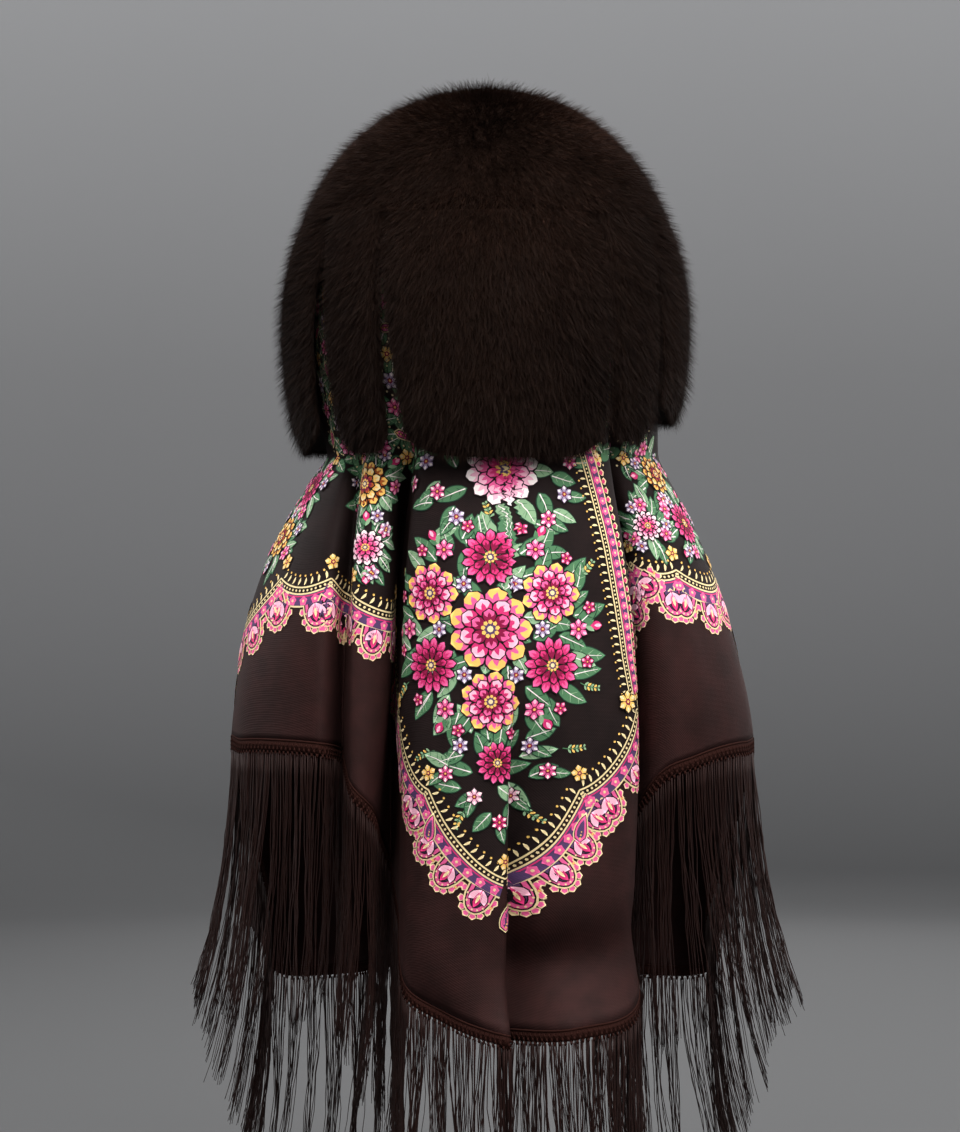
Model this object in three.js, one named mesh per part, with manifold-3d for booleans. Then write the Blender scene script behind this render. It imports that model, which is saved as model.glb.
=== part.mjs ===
// Fur hood with a printed shawl skirt and a knotted fringe, in millimetres, +Z up.
// The origin is where the top of the head meets the inside of the crown.
// -Y is the back of the head and +Y the face. Turns are degrees from the middle of the back, positive
// towards +X.
import * as THREE from "three";
import { mergeVertices } from "three/addons/utils/BufferGeometryUtils.js";
import Module from "manifold-3d";

const wasm = await Module();
wasm.setup();

// Driving dimensions
const GAP = 0.3; // between pieces that are sewn together
const FUR = {
  wall: 12, // skin and pile together
  top: 12, // height of the crown's outside above the head
  halfWidth: 149, // at the level of the ears
  depthRatio: 0.95, // front-to-back size over side-to-side size
  widestZ: -165,
  tipZ: -258,
  tipRadius: 138,
  roundness: 2.1,
};
const RIM_Z = -88; // the crown ends here, and the flaps hang from it
const FACE = { halfWidth: 78, middleZ: -130, browZ: -38, chinHalfWidth: 52, chinZ: -258 };
const CLOTH = {
  half: 1, // half the wall of the folded wool
  seamZ: -80, // sewn inside the crown's rim
  seamRadius: 117,
  seamTurn: 141,
  fullness: 11, // how far it swells between the seam and the neck
  neckZ: -262,
  neckRadius: 117,
  skirtZ: -470, // the folds are at their fullest from here down
  depthRatio: 0.95,
  flare: 2, // how soon the folds open below the neck
};
const FRINGE = {
  length: 205,
  half: 1.3,
  hemGap: 2.2,
  heading: 9,
  stripShare: 0.8,
  splayBack: 6,
  splaySide: 30,
};

// The flaps of the hood, cut apart by slits. from and to are turns at the crown's rim and at the low edge, and
// FACE_EDGE follows the face opening. lift stands a flap out of its neighbours, or sinks it below them.
const FACE_EDGE = null;
const FLAPS = [
  { name: "fur_flap_side_left", from: FACE_EDGE, to: [-58.4, -63], lowZ: -258, lift: 2 },
  { name: "fur_flap_rear_left", from: [-57.8, -54], to: [-33.1, -32.5], lowZ: -262, lift: -4 },
  { name: "fur_flap_back", from: [-32.5, -24.5], to: [36.2, 38.3], lowZ: -266, lift: 4 },
  { name: "fur_flap_rear_right", from: [36.8, 42], to: [60.7, 64], lowZ: -253, lift: -3 },
  { name: "fur_flap_side_right", from: [61.3, 67], to: FACE_EDGE, lowZ: -236, lift: 2 },
];

const SINK = { sinkX: -14, sinkY: 31 };
const DRIFT = { sinkX: -16, sinkY: 0 };
const SINKING = { fromZ: -400, fullZ: -590 };

// The shawl's folds, from its front left edge round the back to its front right edge. turn and inset place a
// fold on the neck's oval, x and y place it in the skirt, and hem is the height of its low end. belly swells the
// fold just above the hem, or tucks it in, and toe turns the hem itself outwards. A fold with sinkX and sinkY
// moves by as much from SINKING.fromZ down.
const FOLDS = [
  { fold: "front_left_edge", turn: -167, inset: 8, x: -26, y: 150, hem: -652, belly: 4, toe: 0 },
  { fold: "front_left_crest", turn: -150, inset: 0, x: -80, y: 170, hem: -655, belly: 8, toe: -6 },
  { fold: "front_left_trough", turn: -138, inset: 12, x: -108, y: 124, hem: -655, belly: 6, toe: 0 },
  { fold: "front_left_outer", turn: -122, inset: 0, x: -178, y: 122, hem: -652, belly: 14, toe: -16 },
  { fold: "side_left_trough", turn: -107, inset: 10, x: -170, y: 66, hem: -600, belly: 10, toe: -6 },
  { fold: "side_left_crest", turn: -90, inset: 0, x: -190, y: 14, hem: -482, belly: 0, toe: 0 },
  { fold: "rear_left_outer", turn: -72, inset: 0, x: -178, y: -46, hem: -470, belly: 0, toe: 0 },
  { fold: "rear_left_lip", turn: -61, inset: 0, x: -122, y: -96, hem: -470, belly: 0, toe: 0 },
  { fold: "rear_left_tuck", turn: -55, inset: 8, x: -104, y: -66, hem: -478, belly: 0, toe: 0 },
  { fold: "rear_left_crest", turn: -46, inset: 1, x: -96, y: -107, hem: -500, belly: 0, toe: 0 },
  { fold: "rear_left_edge", turn: -38, inset: 3, x: -70, y: -94, hem: -521, belly: 0, toe: 0, ...DRIFT },
  { fold: "left_gap", turn: -32, inset: 20, x: -71, y: -28, hem: -560, belly: 0, toe: 0 },
  { fold: "back_left_inner", turn: -27, inset: 8, x: -63, y: -66, hem: -590, belly: 0, toe: 0 },
  { fold: "back_left_crest", turn: -22, inset: 0, x: -58, y: -112, hem: -640, belly: 0, toe: 0 },
  { fold: "back_left_middle", turn: -12, inset: 0, x: -30, y: -138, hem: -660, belly: 0, toe: -8 },
  { fold: "back_crease_lip", turn: 5, inset: 0, x: 13, y: -146, hem: -672, belly: -4, toe: 16 },
  { fold: "back_crease", turn: 11, inset: 2, x: 24, y: -147, hem: -672, belly: -10, toe: 10, ...SINK },
  { fold: "back_right_middle", turn: 28, inset: 0, x: 56, y: -138, hem: -668, belly: -20, toe: 20 },
  { fold: "back_right_crest", turn: 50, inset: 1, x: 107, y: -110, hem: -652, belly: -6, toe: 4 },
  { fold: "right_gap", turn: 55, inset: 16, x: 95, y: -30, hem: -575, belly: 0, toe: 0 },
  { fold: "rear_right_edge", turn: 60, inset: 5, x: 121, y: -78, hem: -500, belly: 0, toe: 0 },
  { fold: "rear_right_middle", turn: 72, inset: -2, x: 154, y: -80, hem: -480, belly: 0, toe: 0 },
  { fold: "rear_right_crest", turn: 84, inset: -8, x: 190, y: -42, hem: -472, belly: 0, toe: 0 },
  { fold: "side_right_crest", turn: 96, inset: -12, x: 200, y: 12, hem: -484, belly: 0, toe: 0 },
  { fold: "side_right_trough", turn: 109, inset: 10, x: 172, y: 64, hem: -600, belly: 8, toe: 0 },
  { fold: "front_right_outer", turn: 123, inset: 0, x: 182, y: 120, hem: -652, belly: 10, toe: -8 },
  { fold: "front_right_trough", turn: 138, inset: 12, x: 108, y: 124, hem: -655, belly: 6, toe: 0 },
  { fold: "front_right_crest", turn: 150, inset: 0, x: 80, y: 170, hem: -655, belly: 8, toe: -6 },
  { fold: "front_right_edge", turn: 167, inset: 8, x: 26, y: 150, hem: -652, belly: 4, toe: 0 },
];
const BELLY = { above: 42, spread: 24 }; // mm above the hem
const TOE_REACH = 14;
const LATE_FOLD = { fold: "side_right_crest", flare: 1.35, spread: 0.8 }; // this part opens lower down

// Mesh fineness
const CLOTH_STEPS = 3; // between two folds
const CLOTH_ROWS = { neck: 4, skirt: 8 };
const SHARPEST_MITRE = 0.7;

const MATERIALS = {
  fur: new THREE.MeshStandardMaterial({ color: 0x21150f, roughness: 0.85, metalness: 0 }),
  wool: new THREE.MeshStandardMaterial({ color: 0x3a2523, roughness: 0.9, metalness: 0 }),
  silk: new THREE.MeshStandardMaterial({ color: 0x2a1614, roughness: 0.5, metalness: 0 }),
};

const { clamp, degToRad, lerp } = THREE.MathUtils;

// A superellipse falling from the crown's top to the level of the ears
function domeRadius(z, halfWidth, top) {
  const height = clamp((z - FUR.widestZ) / (top - FUR.widestZ), 0, 1);
  return halfWidth * Math.pow(1 - Math.pow(height, FUR.roundness), 1 / FUR.roundness);
}

// The fur's outside, drawn in again below the ears
function furRadius(z) {
  if (z >= FUR.widestZ) return domeRadius(z, FUR.halfWidth, FUR.top);
  const below = (FUR.widestZ - z) / (FUR.widestZ - FUR.tipZ);
  return FUR.halfWidth - (FUR.halfWidth - FUR.tipRadius) * below * below;
}

function onOval(turn, radius, depthRatio, z) {
  const angle = degToRad(turn);
  return new THREE.Vector3(radius * Math.sin(angle), -radius * depthRatio * Math.cos(angle), z);
}

// Half the face opening's width: a half oval above, easing in below towards the chin
function faceHalfWidth(z) {
  if (z > FACE.middleZ) {
    const up = clamp((z - FACE.middleZ) / (FACE.browZ - FACE.middleZ), 0, 1);
    return FACE.halfWidth * Math.sqrt(1 - up * up);
  }
  const down = clamp((FACE.middleZ - z) / (FACE.middleZ - FACE.chinZ), 0, 1);
  return lerp(FACE.halfWidth, FACE.chinHalfWidth, 0.5 - 0.5 * Math.cos(Math.PI * down));
}

function faceTurn(z) {
  return 180 - THREE.MathUtils.radToDeg(Math.asin(faceHalfWidth(z) / furRadius(z)));
}

// A closed wall round the middle surface middle(i, j), half(i, j) thick on each side, with a level top edge.
// keep(i, j) leaves cells out.
function wallGeometry(columns, rows, middle, half, keep = () => true) {
  const grid = [];
  for (let i = 0; i <= columns; i++) {
    for (let j = 0; j <= rows; j++) grid.push(middle(i, j));
  }
  const at = (i, j) => grid[clamp(i, 0, columns) * (rows + 1) + clamp(j, 0, rows)];
  const positions = [];
  for (const side of [1, -1]) {
    for (let i = 0; i <= columns; i++) {
      for (let j = 0; j <= rows; j++) {
        const down = at(i, j + 1).clone().sub(at(i, j - 1));
        const facing = (from, to) => {
          const normal = down.clone().cross(at(to, j).clone().sub(at(from, j)));
          return (j === 0 ? normal.setZ(0) : normal).normalize();
        };
        const before = i > 0 ? facing(i - 1, i) : facing(0, 1);
        const after = i < columns ? facing(i, i + 1) : before;
        const mitre = Math.max(1 + before.dot(after), SHARPEST_MITRE);
        const outward = before.clone().add(after).divideScalar(mitre);
        const moved = at(i, j).clone().addScaledVector(outward, side * half(i, j));
        positions.push(moved.x, moved.y, moved.z);
      }
    }
  }
  const back = (columns + 1) * (rows + 1);
  const vertex = (i, j, side) => i * (rows + 1) + j + (side > 0 ? 0 : back);
  const kept = (i, j) => i >= 0 && j >= 0 && i < columns && j < rows && keep(i, j);
  const faces = [];
  const quad = (a, b, c, d) => faces.push(a, b, c, a, c, d);
  for (let i = 0; i < columns; i++) {
    for (let j = 0; j < rows; j++) {
      if (!kept(i, j)) continue;
      const front = [vertex(i, j, 1), vertex(i, j + 1, 1), vertex(i + 1, j + 1, 1), vertex(i + 1, j, 1)];
      const rear = front.map((v) => v + back);
      quad(...front);
      quad(rear[0], rear[3], rear[2], rear[1]);
      const neighbours = [kept(i - 1, j), kept(i, j + 1), kept(i + 1, j), kept(i, j - 1)];
      neighbours.forEach((there, side) => {
        if (!there) quad(front[(side + 1) % 4], front[side], rear[side], rear[(side + 1) % 4]);
      });
    }
  }
  const geometry = new THREE.BufferGeometry();
  geometry.setAttribute("position", new THREE.Float32BufferAttribute(positions, 3));
  geometry.setIndex(faces);
  return geometry;
}

function toSolid(geometry) {
  const bare = geometry.clone();
  bare.deleteAttribute("normal");
  bare.deleteAttribute("uv");
  const merged = mergeVertices(bare, 1e-3);
  const mesh = new wasm.Mesh({
    numProp: 3,
    vertProperties: merged.attributes.position.array,
    triVerts: new Uint32Array(merged.index.array),
  });
  return new wasm.Manifold(mesh);
}

function fromSolid(solid) {
  const mesh = solid.getMesh();
  const geometry = new THREE.BufferGeometry();
  geometry.setAttribute("position", new THREE.BufferAttribute(mesh.vertProperties, 3));
  geometry.setIndex(new THREE.BufferAttribute(mesh.triVerts, 1));
  geometry.computeVertexNormals();
  return geometry;
}

// The crown: a hollow dome, with the brow of the face opening cut out of its front
function crownGeometry() {
  const steps = 9;
  const segments = 44;
  const heights = (top) => {
    const found = [];
    for (let k = 0; k <= steps; k++) {
      found.push(lerp(top, RIM_Z, 1 - Math.cos((k / steps) * Math.PI * 0.5)));
    }
    return found;
  };
  const innerTop = FUR.top - FUR.wall;
  const innerWidth = FUR.halfWidth - FUR.wall;
  const outside = heights(FUR.top).map((z) => new THREE.Vector2(domeRadius(z, FUR.halfWidth, FUR.top), z));
  const inside = heights(innerTop).map((z) => new THREE.Vector2(domeRadius(z, innerWidth, innerTop), z));
  const profile = [...inside, ...outside.reverse()];
  const dome = new THREE.LatheGeometry(profile, segments).rotateX(Math.PI / 2).scale(1, FUR.depthRatio, 1);

  const opening = new THREE.Shape();
  const below = RIM_Z - FUR.wall;
  opening.moveTo(-faceHalfWidth(below), below);
  const edgeSteps = 14;
  for (let k = 0; k <= edgeSteps; k++) {
    const z = lerp(below, FACE.browZ, Math.sin((k / edgeSteps) * Math.PI * 0.5));
    opening.lineTo(-faceHalfWidth(z), z);
  }
  for (let k = edgeSteps - 1; k >= 0; k--) {
    const z = lerp(below, FACE.browZ, Math.sin((k / edgeSteps) * Math.PI * 0.5));
    opening.lineTo(faceHalfWidth(z), z);
  }
  const cutter = new THREE.ExtrudeGeometry(opening, { depth: 2 * FUR.halfWidth, bevelEnabled: false })
    .rotateX(Math.PI / 2)
    .translate(0, 2 * FUR.halfWidth, 0);
  return fromSolid(toSolid(dome).subtract(toSolid(cutter)));
}

// A flap: a pillow of fur, full at the crown's rim and thinning towards its sides and its low edge
function flapGeometry({ from, to, lowZ, lift }) {
  const rows = 9;
  const cornerRise = 13;
  const thinEdge = 0.3;
  const liftFrom = 0.3;
  const width = (from ? from[0] : -faceTurn(RIM_Z)) - (to ? to[0] : faceTurn(RIM_Z));
  const columns = Math.max(7, Math.round(Math.abs(width) / 7));
  const fall = (share, power) => Math.sqrt(1 - Math.pow(Math.abs(share), power));
  const place = (i, j) => {
    const across = i / columns;
    const side = 2 * across - 1;
    const low = lowZ + cornerRise * Math.pow(Math.abs(side), 5);
    const down = j / rows;
    const z = lerp(RIM_Z - GAP, low, down);
    const turnFrom = from ? lerp(from[0], from[1], down) : -faceTurn(z);
    const turnTo = to ? lerp(to[0], to[1], down) : faceTurn(z);
    const thin = Math.max(thinEdge, Math.min(fall(side, 9), fall(down, 12)));
    const rise = lift * clamp(down / liftFrom, 0, 1);
    return { turn: lerp(turnFrom, turnTo, across), z, rise, thick: FUR.wall * thin };
  };
  const middle = (i, j) => {
    const { turn, z, rise } = place(i, j);
    return onOval(turn, furRadius(z) + rise - FUR.wall / 2, FUR.depthRatio, z);
  };
  return wallGeometry(columns, rows, middle, (i, j) => place(i, j).thick / 2);
}

// A Catmull-Rom curve through one column of the folds
function alongFolds(t, column) {
  const last = FOLDS.length - 1;
  const k = Math.min(Math.floor(t), last - 1);
  const f = t - k;
  const [a, b, c, d] = [k - 1, k, k + 1, k + 2].map((n) => FOLDS[clamp(n, 0, last)][column] ?? 0);
  const slopeB = (c - a) / 2;
  const slopeC = (d - b) / 2;
  const f2 = f * f;
  const f3 = f2 * f;
  return (2 * f3 - 3 * f2 + 1) * b + (f3 - 2 * f2 + f) * slopeB + (3 * f2 - 2 * f3) * c + (f3 - f2) * slopeC;
}

function flareAt(t) {
  const away = (t - FOLDS.findIndex((row) => row.fold === LATE_FOLD.fold)) / LATE_FOLD.spread;
  return lerp(CLOTH.flare, LATE_FOLD.flare, Math.exp(-away * away));
}

// A point of the shawl: t counts the folds from the front left edge, z is its height
function shawlPoint(t, z) {
  const share = t / (FOLDS.length - 1);
  const neck = onOval(alongFolds(t, "turn"), CLOTH.neckRadius - alongFolds(t, "inset"), CLOTH.depthRatio, z);
  if (z > CLOTH.neckZ) {
    const seamTurn = lerp(-CLOTH.seamTurn, CLOTH.seamTurn, share);
    const down = (CLOTH.seamZ - z) / (CLOTH.seamZ - CLOTH.neckZ);
    const point = onOval(seamTurn, CLOTH.seamRadius, CLOTH.depthRatio, z).lerp(neck, Math.pow(down, 3.5));
    const outward = new THREE.Vector3(point.x, point.y, 0).normalize();
    return point.addScaledVector(outward, CLOTH.fullness * Math.sin(Math.PI * down));
  }
  const down = clamp((CLOTH.neckZ - z) / (CLOTH.neckZ - CLOTH.skirtZ), 0, 1);
  const sunk = 1 - THREE.MathUtils.smoothstep(z, SINKING.fullZ, SINKING.fromZ);
  const x = alongFolds(t, "x") + sunk * alongFolds(t, "sinkX");
  const y = alongFolds(t, "y") + sunk * alongFolds(t, "sinkY");
  const skirt = new THREE.Vector3(x, y, z);
  const point = neck.lerp(skirt, 1 - Math.pow(1 - down, flareAt(t)));
  const above = z - alongFolds(t, "hem");
  const belly = alongFolds(t, "belly") * Math.exp(-Math.pow((above - BELLY.above) / BELLY.spread, 2));
  const toe = alongFolds(t, "toe") * Math.exp(-above / TOE_REACH);
  const outward = new THREE.Vector3(point.x, point.y, 0).normalize();
  return point.addScaledVector(outward, belly + toe);
}

function shawlGeometry() {
  const columns = (FOLDS.length - 1) * CLOTH_STEPS;
  const { neck, skirt } = CLOTH_ROWS;
  const middle = (i, j) => {
    const t = i / CLOTH_STEPS;
    if (j <= neck) return shawlPoint(t, lerp(CLOTH.seamZ, CLOTH.neckZ, j / neck));
    return shawlPoint(t, lerp(CLOTH.neckZ, alongFolds(t, "hem"), (j - neck) / skirt));
  };
  return wallGeometry(columns, neck + skirt, middle, () => CLOTH.half);
}

// A point of the hem on the straight sides that the shawl's wall has there
function hemPoint(t) {
  const before = Math.floor(t * CLOTH_STEPS) / CLOTH_STEPS;
  const after = Math.min(before + 1 / CLOTH_STEPS, FOLDS.length - 1);
  const [a, b] = [before, after].map((column) => shawlPoint(column, alongFolds(column, "hem")));
  return a.lerp(b, (t - before) * CLOTH_STEPS);
}

// The fringe below one edge of the shawl: a knotted heading along the hem, and strips that hang from it
function fringeGeometry(firstStep, lastStep) {
  const strips = lastStep - firstStep;
  const columns = 2 * strips - 1;
  const middle = (i, j) => {
    const step = firstStep + Math.floor(i / 2) + (i % 2) * FRINGE.stripShare;
    const hem = hemPoint(step / CLOTH_STEPS);
    const side = THREE.MathUtils.smoothstep(Math.hypot(hem.x, hem.y), 150, 185);
    const drop = [0, FRINGE.heading, FRINGE.length * 0.5, FRINGE.length][j];
    const splay = lerp(FRINGE.splayBack, FRINGE.splaySide, side) * Math.pow(drop / FRINGE.length, 2);
    const outward = new THREE.Vector3(hem.x, hem.y, 0).normalize();
    return hem.addScaledVector(outward, splay).setZ(hem.z - FRINGE.hemGap - drop);
  };
  const half = (i, j) => FRINGE.half * (j < 2 ? 0.6 : 1);
  return wallGeometry(columns, 3, middle, half, (i, j) => j === 0 || i % 2 === 0);
}

function piece(name, geometry, material) {
  const mesh = new THREE.Mesh(geometry, MATERIALS[material]);
  mesh.name = name;
  return mesh;
}

const hood = new THREE.Group();
hood.add(piece("fur_crown", crownGeometry(), "fur"));
for (const flap of FLAPS) hood.add(piece(flap.name, flapGeometry(flap), "fur"));
hood.add(piece("shawl", shawlGeometry(), "wool"));

const backCorner = FOLDS.findIndex((row) => row.fold === "back_crease_lip");
const steps = (FOLDS.length - 1) * CLOTH_STEPS;
hood.add(piece("fringe_left", fringeGeometry(0, backCorner * CLOTH_STEPS), "silk"));
hood.add(piece("fringe_right", fringeGeometry(backCorner * CLOTH_STEPS, steps), "silk"));

export default hood;
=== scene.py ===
# Fur hood with a fringed shawl, in millimetres up to add_mesh, which turns them into metres. -Y is the back.
# t counts the shawl's folds from its front left edge, and z is height, 0 at the top of the head.
import math

import bpy
import numpy as np
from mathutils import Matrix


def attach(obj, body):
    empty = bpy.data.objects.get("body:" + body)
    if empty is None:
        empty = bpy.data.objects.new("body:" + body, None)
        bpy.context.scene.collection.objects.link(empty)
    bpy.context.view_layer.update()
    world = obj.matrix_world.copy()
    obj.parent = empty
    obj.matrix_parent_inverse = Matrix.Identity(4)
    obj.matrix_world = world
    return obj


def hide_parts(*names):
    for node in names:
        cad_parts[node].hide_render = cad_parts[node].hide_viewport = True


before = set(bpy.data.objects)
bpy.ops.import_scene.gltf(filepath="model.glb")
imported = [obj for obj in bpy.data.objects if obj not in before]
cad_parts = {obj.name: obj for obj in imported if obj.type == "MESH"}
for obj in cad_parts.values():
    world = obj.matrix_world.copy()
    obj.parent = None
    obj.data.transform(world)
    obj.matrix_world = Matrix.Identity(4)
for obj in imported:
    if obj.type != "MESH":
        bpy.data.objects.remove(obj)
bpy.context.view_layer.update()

MM = 0.001

# The camera is level, behind the hood
CAMERA_DISTANCE = 2500
CAMERA_X = -4
CAMERA_Z = -343
VIEW_HEIGHT = 849
FLOOR_Z = -892

# The form of the solids, which the surfaces here follow
FUR_NODES = (
    "fur_crown", "fur_flap_side_left", "fur_flap_rear_left",
    "fur_flap_back", "fur_flap_rear_right", "fur_flap_side_right",
)
RIM_Z = -88
DOME_CENTRE_Z = -165
SEAM_Z, SEAM_RADIUS, SEAM_TURN = -80, 117, 141
NECK_Z, NECK_RADIUS = -262, 117
FULLNESS = 11
SKIRT_Z, FLARE = -470, 2
DEPTH = 0.95
BELLY_ABOVE, BELLY_SPREAD, TOE_REACH = 42, 24, 14
LATE_FOLD, LATE_FLARE, LATE_SPREAD = 23, 1.35, 0.8  # one fold at the right opens sooner
SINK_FROM_Z, SINK_FULL_Z = -400, -590

# turn and inset place a fold on the neck's oval, x and y place it in the skirt, and hem is its low end
FOLD_COLUMNS = ("turn", "inset", "x", "y", "hem", "belly", "toe", "sink_x", "sink_y")
FOLDS = np.array([
    (-167, 8, -26, 150, -652, 4, 0, 0, 0),
    (-150, 0, -80, 170, -655, 8, -6, 0, 0),
    (-138, 12, -108, 124, -655, 6, 0, 0, 0),
    (-122, 0, -178, 122, -652, 14, -16, 0, 0),
    (-107, 10, -170, 66, -600, 10, -6, 0, 0),
    (-90, 0, -190, 14, -482, 0, 0, 0, 0),
    (-72, 0, -178, -46, -470, 0, 0, 0, 0),
    (-61, 0, -122, -96, -470, 0, 0, 0, 0),
    (-55, 8, -104, -66, -478, 0, 0, 0, 0),
    (-46, 1, -96, -107, -500, 0, 0, 0, 0),
    (-38, 3, -70, -94, -521, 0, 0, -16, 0),
    (-32, 20, -71, -28, -560, 0, 0, 0, 0),
    (-27, 8, -63, -66, -590, 0, 0, 0, 0),
    (-22, 0, -58, -112, -640, 0, 0, 0, 0),
    (-12, 0, -30, -138, -660, 0, -8, 0, 0),
    (5, 0, 13, -146, -672, -4, 16, 0, 0),
    (11, 2, 24, -147, -672, -10, 10, -14, 31),
    (28, 0, 56, -138, -668, -20, 20, 0, 0),
    (50, 1, 107, -110, -652, -6, 4, 0, 0),
    (55, 16, 95, -30, -575, 0, 0, 0, 0),
    (60, 5, 121, -78, -500, 0, 0, 0, 0),
    (72, -2, 154, -80, -480, 0, 0, 0, 0),
    (84, -8, 190, -42, -472, 0, 0, 0, 0),
    (96, -12, 200, 12, -484, 0, 0, 0, 0),
    (109, 10, 172, 64, -600, 8, 0, 0, 0),
    (123, 0, 182, 120, -652, 10, -8, 0, 0),
    (138, 12, 108, 124, -655, 6, 0, 0, 0),
    (150, 0, 80, 170, -655, 8, -6, 0, 0),
    (167, 8, 26, 150, -652, 4, 0, 0, 0),
], float)
LAST_FOLD = len(FOLDS) - 1
BACK_CORNER = 15

# The cloth. Its flat side and area are in metres and square metres.
CLOTH_HALF = 0.35  # half its wall
CLOTH_STEPS, CLOTH_ROWS = 12, 92  # columns a fold, and rows from seam to hem
CREASE_ROOM = 34  # small creases fade where folds lie closer than this
SLOPE_T, SLOPE_Z = 0.02, 1  # half the steps over which the surface's slope is taken

# The fringe
FRINGE_LENGTH = 205
HEADING_ROWS = (1.0, 4.0, 7.0, 10.0)  # of knots, below the hem
HEADING_TOP, HEADING_LOW, HEADING_HALF = 0.8, 8.4, 0.35
KNOT_GAP, KNOT_REACH, KNOT_RADII = 4.2, 1.5, (0.45, 1.15, 0.45)
NET_RADIUS, EDGE_CORD_RADIUS = 0.5, 0.9
STRAND_GAP, STRAND_POINTS = 1.25, 13
STRAND_RADIUS, STRAND_TAPER = 0.44, 0.2
STRAY_SHARE = 0.1
SPLAY_NEAR, SPLAY_FAR = 5, 26  # how far the ends stand out, near the middle of the body and far from it
SPLAY_FROM, SPLAY_OVER = 150, 35
KINK = 0.55

# The fur. Hairs are counted for each square millimetre of skin, and those of a tuft meet at their tips. lift
# stands them off the skin, spread turns them aside, mottle varies their tone, and apart parts a tuft's roots.
SKIN_DEPTH = 2.2
BURIED = 0.35  # the share of a hair that lies below the skin
EDGE_LENGTH = 0.3  # of a hair on a piece's edges, as a share of its length elsewhere
OUTER_FACING = -0.35  # a face that looks further inwards than this has no hair
# A hair's shade is its mottled tone plus painted top light, lighter where the skin faces up.
FUR_TONES = (-0.3, 0.75, 1.5)  # shades at which the four tones of tips meet
DOWN = {
    "count": 1.6, "length": 8.8, "width": 0.38, "lift": 0.7,
    "spread": 0.2, "mottle": 0.55, "tuft": 1, "apart": 0,
}
GUARD = {
    "count": 0.55, "length": 14.5, "width": 0.24, "lift": 1.3,
    "spread": 0.3, "mottle": 0.2, "tuft": 4, "apart": 0.8,
}

# The print lies above the cloth in levels. Its triangles near the back crease are cut finer.
PRINT_LIFT, PRINT_LEVEL = 0.25, 0.075
EDGE_MARGIN, HEM_MARGIN = 0.05, 3
FINE_MIDDLE, FINE_REACH = BACK_CORNER + 0.5, 0.65
PRINT_COLOURS = {
    "night": "160d0d", "cream": "e6cf9c", "gold": "ecbb62", "rust": "a4501f", "blush": "efb0c4",
    "pink": "df5a90", "rose": "cb2f6b", "wine": "820f3b", "plum": "513a60", "lilac": "a58fb0",
    "pine": "1d3b2b", "leaf": "4c7652", "sage": "86a680", "milk": "f3e6e2",
}


def linear(hex_colour):
    channels = [int(hex_colour[k:k + 2], 16) / 255 for k in (0, 2, 4)]
    return [c / 12.92 if c <= 0.04045 else ((c + 0.055) / 1.055) ** 2.4 for c in channels]


def lerp(a, b, share):
    return a + (b - a) * share


def smooth(share):
    share = np.clip(share, 0, 1)
    return share * share * (3 - 2 * share)


def unit(vectors):
    return vectors / np.maximum(np.linalg.norm(vectors, axis=-1, keepdims=True), 1e-9)


# Meshes
def add_mesh(name, points, faces, materials, slots=None):
    """faces is a list of arrays, each with one number of corners. slots has a material for each face."""
    mesh = bpy.data.meshes.new(name)
    corners = np.concatenate([f.ravel() for f in faces]).astype(np.int32)
    sizes = np.concatenate([np.full(len(f), f.shape[1]) for f in faces]).astype(np.int32)
    mesh.vertices.add(len(points))
    mesh.vertices.foreach_set("co", (np.asarray(points) * MM).astype(np.float32).ravel())
    mesh.loops.add(len(corners))
    mesh.loops.foreach_set("vertex_index", corners)
    mesh.polygons.add(len(sizes))
    mesh.polygons.foreach_set("loop_start", (np.cumsum(sizes) - sizes).astype(np.int32))
    mesh.polygons.foreach_set("use_smooth", np.full(len(sizes), True))
    for material in materials:
        mesh.materials.append(material)
    if slots is not None:
        mesh.polygons.foreach_set("material_index", np.asarray(slots, np.int32))
    mesh.update(calc_edges=True)
    mesh.validate()
    piece = bpy.data.objects.new(name, mesh)
    bpy.context.scene.collection.objects.link(piece)
    return piece


def open_faces(index):
    """Faces between the neighbours of a grid of points."""
    return np.stack([index[:-1, :-1], index[:-1, 1:], index[1:, 1:], index[1:, :-1]], -1).reshape(-1, 4)


def ring_faces(index):
    """Faces between closed rings of points. index has the rings in its last axis but one."""
    after = np.roll(index, -1, axis=-1)
    corners = [index[..., :-1, :], after[..., :-1, :], after[..., 1:, :], index[..., 1:, :]]
    return np.stack(corners, -1).reshape(-1, 4)


def tubes(paths, radius, sides):
    """paths is (count, steps, 3). Gives points and faces of a thin tube along each."""
    count, steps, _ = paths.shape
    along = unit(np.gradient(paths, axis=1))
    reference = np.where(np.abs(along[..., 2:3]) > 0.7, [[[1.0, 0.0, 0.0]]], [[[0.0, 0.0, 1.0]]])
    side = unit(np.cross(along, reference))
    other = np.cross(along, side)
    angle = 2 * math.pi * np.arange(sides) / sides
    radius = np.broadcast_to(np.asarray(radius, float), (count, steps))[..., None, None]
    ring = side[:, :, None] * np.cos(angle)[:, None] + other[:, :, None] * np.sin(angle)[:, None]
    points = (paths[:, :, None] + ring * radius).reshape(-1, 3)
    index = np.arange(count * steps * sides).reshape(count, steps, sides)
    return points, [ring_faces(index), np.concatenate([index[:, 0, ::-1], index[:, -1]])]


def joined(parts):
    """One list of points and faces from several."""
    points, faces, start = [], [], 0
    for part_points, part_faces in parts:
        points.append(part_points)
        faces.extend(f + start for f in part_faces)
        start += len(part_points)
    return np.concatenate(points), faces


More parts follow.
